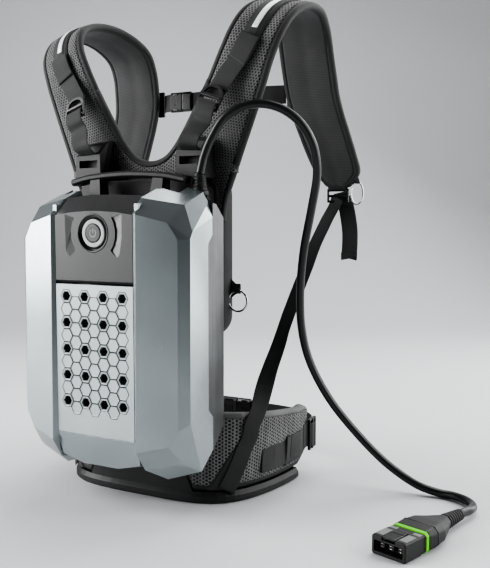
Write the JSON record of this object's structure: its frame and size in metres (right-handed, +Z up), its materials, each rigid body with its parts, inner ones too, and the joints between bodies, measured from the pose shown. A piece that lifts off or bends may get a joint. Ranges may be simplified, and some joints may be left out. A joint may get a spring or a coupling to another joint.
{
  "type": "backpack battery power pack",
  "caption": "Backpack battery case on a padded shoulder and hip harness, with a carry handle and a tool cord that ends in a rectangular plug.",
  "frame": {"origin": "middle of the waist opening, on the symmetry plane, at the level of the hip belt's lower edge", "axes": "+X to the wearer's right, +Y to the wearer's front (the case is on -Y), +Z up along the wearer's spine"},
  "size_m": [0.7138, 0.3955, 0.7274],
  "materials": {
    "shell": "satin, pale blue grey",
    "panel": "satin grey",
    "tray": "vertically brushed",
    "black": "fine grained",
    "light_guide": "translucent white",
    "cell_wrap": "shrink wrapped",
    "nickel": "plain",
    "board": "solder mask",
    "mesh_fabric": "spacer mesh over foam",
    "lining": "smooth knit over foam",
    "webbing": "woven webbing",
    "steel": "polished wire",
    "rubber": "smooth, slightly glossy",
    "green": "bright green"
  },
  "bodies": {
    "pack": {"back_pad": "lining", "busbar_sheet": "nickel", "button_bezel": "black", "button_light_ring": "light_guide", "cable_gland": "black", "carry_handle": "black", "cell_block_lower": "cell_wrap", "cell_block_upper": "cell_wrap", "control_board": "board", "control_panel": "panel", "front_shell": "shell", "grille_panel": "shell", "harness_frame": "black", "harness_yoke": "mesh_fabric", "hip_buckle_plug": "black", "hip_buckle_socket": "black", "hip_webbing_left": "webbing", "hip_webbing_right": "webbing", "hip_wing_left": "mesh_fabric", "hip_wing_right": "mesh_fabric", "lifter_bracket_left": "black", "lifter_bracket_right": "black", "lifter_loop_left": "webbing", "lifter_loop_right": "webbing", "lifter_slider_left": "black", "lifter_slider_right": "black", "lifter_webbing_left": "webbing", "lifter_webbing_right": "webbing", "lower_webbing_left": "webbing", "lower_webbing_right": "webbing", "lumbar_base": "black", "lumbar_pad": "lining", "plug_body": "black", "plug_collar": "green", "plug_nose": "black", "plug_relief": "black", "power_cable": "rubber", "rear_case": "tray", "shoulder_strap_left": "mesh_fabric", "shoulder_strap_right": "mesh_fabric", "side_tab_left": "webbing", "side_tab_right": "webbing", "strap_adjuster_left": "black", "strap_adjuster_right": "black", "strap_band_left": "webbing", "strap_band_right": "webbing", "webbing_tail_left": "webbing", "webbing_tail_right": "webbing"},
    "button": {"power_button": "panel"},
    "latch": {"plug_latch": "panel"},
    "chest_strap": {"chest_slider_left": "black", "chest_slider_right": "black", "chest_webbing_left": "webbing", "chest_webbing_right": "webbing", "chest_buckle_socket": "black", "chest_buckle_plug": "black"},
    "side_ring_left": {"side_ring_left": "steel"},
    "side_ring_right": {"side_ring_right": "steel"},
    "tip_ring_left": {"tip_ring_left": "steel"},
    "tip_ring_right": {"tip_ring_right": "steel"}
  },
  "joints": [
    {"name": "button_press", "type": "slide", "parent": "pack", "child": "button", "axis": [0, 1, 0], "range_m": [0, 0.0015], "stiffness_N_per_m": 1500},
    {"name": "latch_press", "type": "hinge", "parent": "pack", "child": "latch", "pos_m": [0.40655, -0.16681, 0.0235], "axis": [0.9539, -0.3, 0], "range_deg": [0, 3], "stiffness_Nm_per_rad": 0.5},
    {"name": "chest_strap_height", "type": "slide", "parent": "pack", "child": "chest_strap", "axis": [0, -0.125, 0.9922], "range_m": [-0.02, 0.02]},
    {"name": "side_ring_swing_left", "type": "hinge", "parent": "pack", "child": "side_ring_left", "pos_m": [-0.1375, -0.0895, 0.303], "axis": [1, 0, 0], "range_deg": [-70, 0]},
    {"name": "side_ring_swing_right", "type": "hinge", "parent": "pack", "child": "side_ring_right", "pos_m": [0.1375, -0.0895, 0.303], "axis": [1, 0, 0], "range_deg": [-70, 0]},
    {"name": "tip_ring_swing_left", "type": "hinge", "parent": "pack", "child": "tip_ring_left", "pos_m": [-0.2426, 0.112, 0.4649], "axis": [0.8817, -0.4718, 0], "range_deg": [-40, 0]},
    {"name": "tip_ring_swing_right", "type": "hinge", "parent": "pack", "child": "tip_ring_right", "pos_m": [0.2426, 0.112, 0.4649], "axis": [0.8817, 0.4718, 0], "range_deg": [-40, 0]}
  ]
}
